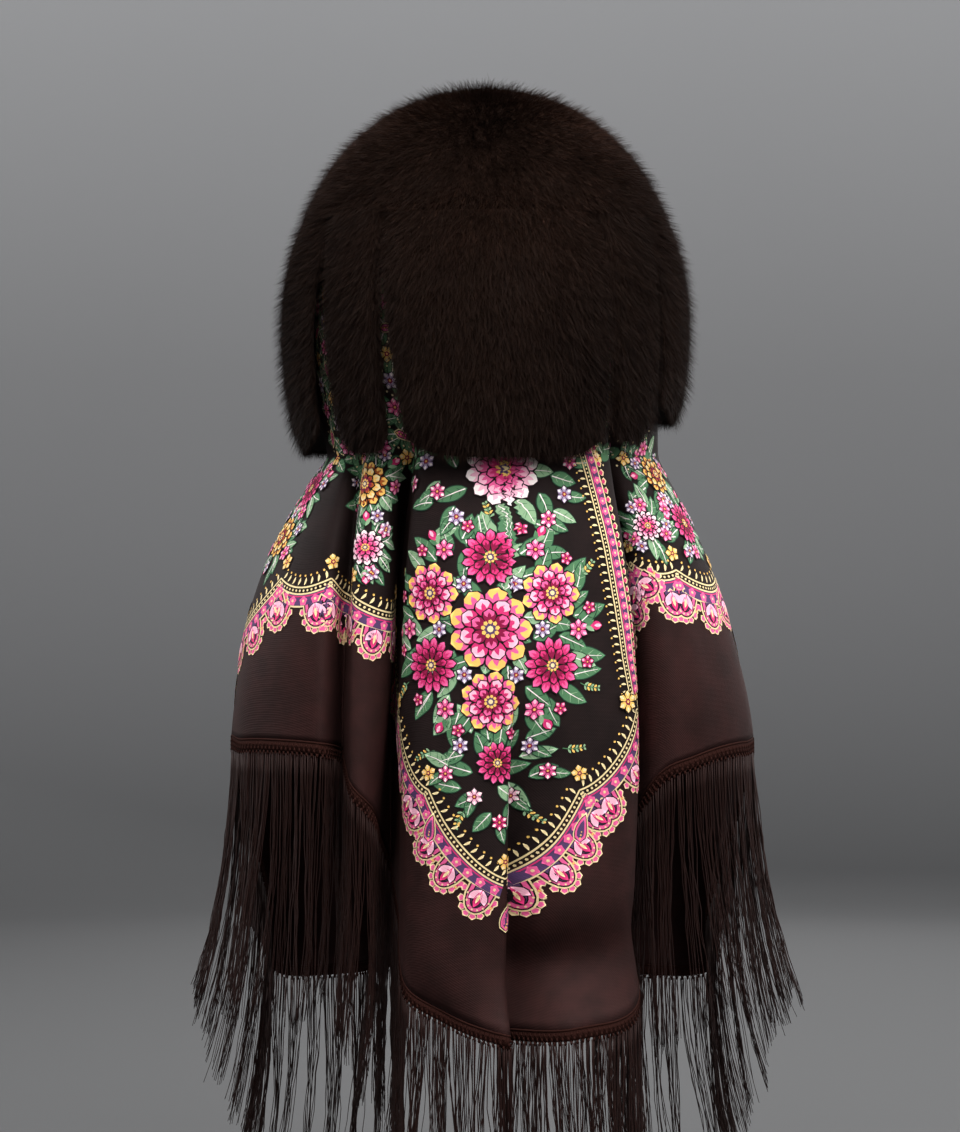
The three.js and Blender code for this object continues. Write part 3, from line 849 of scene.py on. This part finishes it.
def fringe_heading(end, under_hem):
    """A woven band, a cord along its upper edge, and rows of knots with a net between them."""
    knots_at = (np.arange(int(end / KNOT_GAP)) + 0.5) * KNOT_GAP
    tall = np.array([0, 0, KNOT_REACH])
    net, knots = [], []
    for k in range(len(HEADING_ROWS) - 1):
        shift = 0.5 * (k % 2)
        upper = under_hem(knots_at + shift * KNOT_GAP, HEADING_ROWS[k])
        for lean in (-0.5, 0.5):
            lower = under_hem(knots_at + (shift + lean) * KNOT_GAP, HEADING_ROWS[k + 1])
            net.append(np.stack([upper, lerp(upper, lower, 0.5), lower], 1))
        place = under_hem(knots_at + (0.5 - shift) * KNOT_GAP, HEADING_ROWS[k + 1])
        knots.append(np.stack([place + tall, place, place - tall], 1))
    edge_cord = under_hem(np.linspace(0, end, 600), 0.7)[None]

    band_at = np.linspace(0, end, 700)
    outward = unit(under_hem(band_at, 0) * [1, 1, 0]) * HEADING_HALF
    corners = ((HEADING_TOP, 1), (HEADING_LOW, 1), (HEADING_LOW, -1), (HEADING_TOP, -1))
    band = np.stack([under_hem(band_at, drop) + way * outward for drop, way in corners], 1)
    index = np.arange(4 * len(band_at)).reshape(-1, 4)
    return [
        (band.reshape(-1, 3), [ring_faces(index), np.stack([index[0, ::-1], index[-1]])]),
        tubes(np.concatenate(net), NET_RADIUS, 3),
        tubes(edge_cord, EDGE_CORD_RADIUS, 6),
        tubes(np.concatenate(knots), np.array(KNOT_RADII), 5),
    ]


def fringe_strands(random, end, under_hem):
    """Strands that gather in groups, each group and each strand with a swing of its own."""
    root = np.arange(STRAND_GAP / 2, end, STRAND_GAP)
    root = root + random.uniform(-0.8, 0.8, root.size)
    bounds = np.cumsum(random.uniform(8, 22, int(end / 8)))
    group = np.searchsorted(bounds, root)
    groups = group.max() + 1
    middle = np.bincount(group, root, groups) / np.maximum(np.bincount(group, minlength=groups), 1)
    share = np.linspace(0, 1, STRAND_POINTS)[None, :]
    stray = (random.uniform(size=root.size) < STRAY_SHARE)[:, None]
    gather = np.where(stray, 0.0, random.uniform(0.3, 0.85, groups)[group][:, None])
    closing = gather * (smooth(share * 1.5) - 0.35 * share ** 4)
    hem_at = lerp(root[:, None], middle[group][:, None], closing)

    full = FRINGE_LENGTH - HEADING_ROWS[-1] - 6
    length = full + random.uniform(-14, 8, groups)[group] + random.uniform(-9, 5, root.size)
    path = under_hem(hem_at, 0)
    top = under_hem(root, HEADING_ROWS[-1])[:, None]
    path[..., 2] = top[..., 2] - length[:, None] * share
    outward = unit(top * [1, 1, 0])
    sideways = np.cross(outward, [0, 0, 1.0])
    reach = np.linalg.norm(top[..., :2], axis=-1)
    splay = lerp(SPLAY_NEAR, SPLAY_FAR, np.clip((reach - SPLAY_FROM) / SPLAY_OVER, 0, 1))

    own = random.normal(0, 1, (4, root.size, 1))
    shared = random.normal(0, 1, (4, groups))[:, group][..., None]
    wave = np.sin(share * (5 + shared[2]) + 3 * shared[3])
    loose = np.where(stray, 5.0, 1.0)
    out = splay * share ** 2 + (0.9 * own[0] * loose + 3.5 * shared[0]) * share + 1.4 * wave * share
    across = (1.2 * own[1] * loose + 5.5 * shared[1]) * share ** 1.5
    across = across + 2.4 * wave * share + 1.0 * own[2] * loose ** 0.5 * np.sin(share * 7 + own[3])
    kinks = KINK * random.normal(0, 1, (2, *out.shape)) * np.minimum(3 * share, 1)
    out, across = out + kinks[0], across + kinks[1]
    path = path + outward * np.abs(out)[..., None] + sideways * across[..., None]
    return tubes(path, STRAND_RADIUS - STRAND_TAPER * share, 3)


def make_fringe(side, first, last, seed, materials):
    random = np.random.default_rng(seed)
    end, under_hem = hem_line(first, last)
    parts = [*fringe_heading(end, under_hem), fringe_strands(random, end, under_hem)]
    points, faces = joined(parts)
    strand_faces = sum(len(f) for f in parts[-1][1])
    heading_faces = sum(len(f) for f in faces) - strand_faces
    slots = np.repeat([1, 0], [heading_faces, strand_faces])
    piece = add_mesh(f"fringe_{side}_strands", points, faces, materials, slots)
    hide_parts(f"fringe_{side}")
    return piece


# The fur
def patches(points, size, phase):
    """A smooth value from about -1 to 1 that changes over that size."""
    x, y, z = (points / size + phase).T
    first = np.sin(x + 1.7 * np.sin(0.6 * z)) + np.sin(1.3 * y + z)
    return (first + np.sin(0.8 * z - 1.1 * x + 2 * np.sin(0.5 * y))) / 2


def facing_out(places, facing):
    """1 where the surface faces away from the head, 0 on a piece's edges and -1 inside."""
    away = places - [0, 0, DOME_CENTRE_Z]
    away[:, 2] = np.maximum(away[:, 2], 0)
    return (facing * unit(away)).sum(1)


def node_surface(node):
    """The node's points, merged, its triangles, the normals of both, and which triangles have hair."""
    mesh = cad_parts[node].data
    mesh.calc_loop_triangles()
    points = np.empty(len(mesh.vertices) * 3)
    mesh.vertices.foreach_get("co", points)
    triangles = np.empty(len(mesh.loop_triangles) * 3, np.int32)
    mesh.loop_triangles.foreach_get("vertices", triangles)
    points = points.reshape(-1, 3) / MM
    _, kept, merged = np.unique(np.round(points, 2), axis=0, return_index=True, return_inverse=True)
    points = points[kept]
    triangles = merged.ravel()[triangles.reshape(-1, 3)]
    a, b, c = (points[triangles[:, k]] for k in range(3))
    normal = np.cross(b - a, c - a)
    middle = (a + b + c) / 3
    flat_rim = (np.abs(middle[:, 2] - RIM_Z) < 1) & (np.abs(unit(normal)[:, 2]) > 0.9)
    outer = (facing_out(middle, unit(normal)) > OUTER_FACING) & ~flat_rim
    point_normal = np.zeros_like(points)
    for k in range(3):
        np.add.at(point_normal, triangles[outer, k], normal[outer])
    return points, triangles, normal, unit(point_normal), outer


def hairs(random, kind, points, triangles, normal, point_normal, outer):
    """Blades of hair that lean down over the skin, shorter on a piece's edges, and each one's tone with
    painted top light.
    """
    area = np.linalg.norm(normal, axis=1) / 2 * outer
    tufts = int(area.sum() * kind["count"] / kind["tuft"])
    chosen = random.choice(len(triangles), tufts, p=area / area.sum())
    u, v = random.uniform(size=(2, tufts))
    folded = u + v > 1
    u, v = np.where(folded, 1 - u, u), np.where(folded, 1 - v, v)
    weights = np.stack([1 - u - v, u, v], 1)[..., None]
    corner = triangles[chosen]
    place = (points[corner] * weights).sum(1)
    facing = unit((point_normal[corner] * weights).sum(1))
    down = np.array([0, 0, -1.0]) - facing * (-facing[:, 2:3])
    flow = unit(down + 0.05 * random.normal(size=(tufts, 3)))
    side = unit(np.cross(facing, flow))
    swirl = 0.14 * patches(place, 26, 1.0) + 0.08 * patches(place, 9, 4.0)
    swirl = (swirl + random.normal(0, kind["spread"], tufts))[:, None]
    lift = kind["lift"] * (1 + 0.15 * patches(place, 17, 2.0) + random.normal(0, 0.2, tufts))
    lift = np.clip(lift, 0.1, 2.2)[:, None]
    on_edge = 1 - smooth((facing_out(place, facing) + 0.2) / 1.1)
    length = (kind["length"] * random.uniform(0.7, 1.15, tufts) * lerp(1, EDGE_LENGTH, on_edge))[:, None]
    root = place - facing * SKIN_DEPTH - flow * length * BURIED
    tip = root + unit(flow + facing * lift + side * swirl) * length
    tone_and_top_light = 0.35 * patches(place, 34, 7.0) + 0.15 * patches(place, 8, 3.0)
    tone_and_top_light = tone_and_top_light + random.normal(0, kind["mottle"], tufts)
    # Painted top light: hairs on skin that faces upwards get lighter tips.
    tone_and_top_light = tone_and_top_light + 1.1 * np.clip(facing[:, 2], 0, 1)

    each = np.repeat(np.arange(tufts), kind["tuft"])
    count = len(each)
    side, facing, flow = side[each], facing[each], flow[each]
    apart = random.normal(0, 1, (3, count, 1)) * kind["apart"]
    root = root[each] + side * apart[0] + flow * apart[1]
    tip = tip[each] + side * apart[2] * 0.25
    roll = random.normal(0, 1.1, count)[:, None]
    width = unit(side * np.cos(roll) + facing * np.sin(roll)) * kind["width"] / 2
    blades = np.stack([root - width, root + width, tip], 1).reshape(-1, 3)
    return blades, np.digitize(tone_and_top_light[each], FUR_TONES)


def make_fur(node, seed, materials):
    """A skin just inside the solid's surface, with hair on its outer side."""
    random = np.random.default_rng(seed)
    surface = node_surface(node)
    points, triangles, _, point_normal, outer = surface
    parts = [(points - point_normal * SKIN_DEPTH, [triangles])]
    slots = [np.where(outer, 1, 0)]
    for kind in (DOWN, GUARD):
        blades, tones = hairs(random, kind, *surface)
        parts.append((blades, [np.arange(len(blades)).reshape(-1, 3)]))
        slots.append(2 + tones)
    piece = add_mesh(f"{node}_pile", *joined(parts), materials, np.concatenate(slots))
    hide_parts(node)
    return piece


# Materials
THREAD_GAP, WEAVE_STRENGTH = 0.9, 0.3
WAVE_SCALE = 0.314  # turns the distance between threads into a wave texture's scale
# Name, plain colour, and the colours that it varies between
WOOLS = (("wool_border", "281412", "241210", "2d1715"), ("wool_ground", "190f0e", "160d0c", "1d1211"))
# Name, colour, roughness and specular level. The tips are in the order of FUR_TONES, and the lightest of them
# is mostly painted top light.
FURS = (
    ("fur_skin_inside", "2a1c16", 0.9, 0.5), ("fur_roots", "1c110c", 0.9, 0.05),
    ("fur_tips_dark", "170d09", 0.65, 0.06), ("fur_tips_brown", "1e120c", 0.65, 0.07),
    ("fur_tips_warm", "281811", 0.6, 0.09), ("fur_tips_pale_and_painted_top_light", "3a251b", 0.6, 0.11),
)
SILKS = (("fringe_silk", "24110d", 0.62, 0.14), ("fringe_heading", "2a1612", 0.95, 0.04))


def set_inputs(node, **values):
    """Sets a node's inputs, in whose names _ stands for a space."""
    for name, value in values.items():
        node.inputs[name.replace("_", " ")].default_value = value
    return node


def shader(name, colour, roughness, specular=0.5, **values):
    material = bpy.data.materials.new(name)
    material.use_nodes = True
    set_inputs(
        material.node_tree.nodes["Principled BSDF"], Base_Color=(*linear(colour), 1), Roughness=roughness,
        Specular_IOR_Level=specular, **values,
    )
    return material


def add_node(material, kind, **values):
    return set_inputs(material.node_tree.nodes.new(kind), **values)


def link(material, start, output, end, entry):
    material.node_tree.links.new(start.outputs[output], end.inputs[entry])


def add_ramp(material, source, output, stops):
    """A colour ramp to the base colour. stops has the place and colour of its two ends."""
    ramp = add_node(material, "ShaderNodeValToRGB")
    for element, (position, colour) in zip(ramp.color_ramp.elements, stops):
        element.position = position
        element.color = (*colour, 1)
    link(material, source, output, ramp, "Fac")
    link(material, ramp, "Color", material.node_tree.nodes["Principled BSDF"], "Base Color")


def add_weave(material):
    """A fine twill in the bump: two sets of threads and a little unevenness."""
    scale = WAVE_SCALE / (THREAD_GAP * MM)
    place = add_node(material, "ShaderNodeTexCoord")
    diagonal, upright = (
        add_node(material, "ShaderNodeTexWave", Scale=scale, Distortion=0.6, Detail_Scale=2) for _ in range(2)
    )
    diagonal.bands_direction, upright.bands_direction = "DIAGONAL", "Z"
    slub = add_node(material, "ShaderNodeTexNoise", Scale=420, Detail=4)
    both, uneven = (add_node(material, "ShaderNodeMath") for _ in range(2))
    for texture, total, entry in ((diagonal, both, 0), (upright, both, 1), (slub, uneven, 1)):
        total.operation = "ADD"
        link(material, place, "Object", texture, "Vector")
        link(material, texture, "Fac", total, entry)
    link(material, both, 0, uneven, 0)
    bump = add_node(material, "ShaderNodeBump", Strength=WEAVE_STRENGTH, Distance=0.3 * MM)
    link(material, uneven, 0, bump, "Height")
    link(material, bump, "Normal", material.node_tree.nodes["Principled BSDF"], "Normal")
    return material


def add_colour_noise(material, low, high):
    noise = add_node(material, "ShaderNodeTexNoise", Scale=60, Detail=6)
    link(material, add_node(material, "ShaderNodeTexCoord"), "Object", noise, "Vector")
    add_ramp(material, noise, "Fac", ((0.35, low), (0.65, high)))


def make_materials():
    wools = []
    for name, base, low, high in WOOLS:
        wool = shader(
            name, base, 0.75, 0.12, Sheen_Weight=0.04, Sheen_Roughness=0.4, Sheen_Tint=(*linear("6a4038"), 1),
        )
        add_colour_noise(wool, linear(low), linear(high))
        wools.append(add_weave(wool))
    dyes = {
        name: add_weave(shader(f"print_{name}", colour, 0.75, 0.15)) for name, colour in PRINT_COLOURS.items()
    }
    silk, fur = ([shader(*values) for values in table] for table in (SILKS, FURS))
    return {"fur": fur, "wool": wools, "dyes": dyes, "silk": silk}


# Surroundings, a round bowl with a plain floor, whose grey is painted darker towards the floor as painted
# shade
FLOOR_RADIUS, BEND_RADIUS, WALL_TOP, BOWL_TURNS = 2800, 900, 3600, 72
# The backdrop's grey runs from painted shade at the floor to a lighter wall higher up.
SHADED_LOW_GREY, LIT_HIGH_GREY = (0.075, 0.075, 0.076), (0.42, 0.42, 0.425)
GREY_HEIGHT = 2  # metres above the floor at which the high grey is reached
LAMP_TARGET = (0, 0, -0.35)
# Name, place and size in metres, and power
LAMPS = (
    ("key", (1.7, -2.4, 1.2), 1.6, 65),
    ("fill", (-2.1, -2.0, 0.6), 1.8, 10),
    ("top", (0.0, -1.3, 2.1), 1.8, 115),
    ("edge_left", (-1.9, 1.0, 0.4), 1.0, 26),
    ("edge_right", (1.9, 1.0, 0.4), 1.0, 24),
    ("front", (0.5, 2.6, 0.5), 1.8, 42),
)


def make_backdrop():
    grey = shader("backdrop_painted_shade_ramp", "898989", 0.9, 0.1)
    place = add_node(grey, "ShaderNodeTexCoord")
    parted = add_node(grey, "ShaderNodeSeparateXYZ")
    low = FLOOR_Z * MM
    height = add_node(grey, "ShaderNodeMapRange", From_Min=low, From_Max=low + GREY_HEIGHT)
    link(grey, place, "Object", parted, "Vector")
    link(grey, parted, "Z", height, "Value")
    # Painted shade: the backdrop is coloured darker towards the floor.
    add_ramp(grey, height, "Result", ((0, SHADED_LOW_GREY), (1, LIT_HIGH_GREY)))

    bend = math.pi / 2 * np.arange(1, 13) / 12
    radius = [0, 1400, FLOOR_RADIUS, *(FLOOR_RADIUS + BEND_RADIUS * np.sin(bend)), FLOOR_RADIUS + BEND_RADIUS]
    height = [0, 0, 0, *(BEND_RADIUS - BEND_RADIUS * np.cos(bend)), WALL_TOP]
    radius, height = np.array(radius)[:, None], np.array(height)[:, None]
    angle = 2 * math.pi * np.arange(BOWL_TURNS) / BOWL_TURNS
    points = np.stack([radius * np.cos(angle), radius * np.sin(angle), FLOOR_Z + height + 0 * angle], -1)
    faces = ring_faces(np.arange(points.size // 3).reshape(-1, BOWL_TURNS))
    add_mesh("backdrop", points.reshape(-1, 3), [faces], [grey])


def make_light():
    scene = bpy.context.scene
    world = bpy.data.worlds.new("studio")
    world.use_nodes = True
    set_inputs(world.node_tree.nodes["Background"], Color=(0.94, 0.96, 1.0, 1), Strength=0.8)
    scene.world = world
    scene.view_settings.view_transform = "Standard"
    for name, place, size, power in LAMPS:
        lamp = bpy.data.lights.new(name, "AREA")
        lamp.size = size
        lamp.energy = power
        holder = bpy.data.objects.new(name, lamp)
        scene.collection.objects.link(holder)
        holder.location = place
        x, y, z = np.array(place) - LAMP_TARGET
        holder.rotation_euler = (math.atan2(math.hypot(x, y), z), 0, math.atan2(x, -y))


def make_camera():
    camera = bpy.data.cameras.new("camera")
    camera.sensor_fit = "VERTICAL"
    camera.angle = 2 * math.atan(VIEW_HEIGHT / 2 / CAMERA_DISTANCE)
    holder = bpy.data.objects.new("camera", camera)
    holder.location = (CAMERA_X * MM, -CAMERA_DISTANCE * MM, CAMERA_Z * MM)
    holder.rotation_euler = (math.pi / 2, 0, 0)
    bpy.context.scene.collection.objects.link(holder)
    bpy.context.scene.camera = holder


make_camera()
make_backdrop()
make_light()
looks = make_materials()
fur = [make_fur(node, 11 + k, looks["fur"]) for k, node in enumerate(FUR_NODES)]
shawl = make_shawl(looks["wool"])
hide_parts("shawl")
shawl_print = make_print(looks["dyes"])
fringe = [
    make_fringe("left", 0, BACK_CORNER, 31, looks["silk"]),
    make_fringe("right", BACK_CORNER, LAST_FOLD, 32, looks["silk"]),
]
for piece in (*fur, shawl, shawl_print, *fringe):
    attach(piece, "root")

bpy.context.view_layer.update()
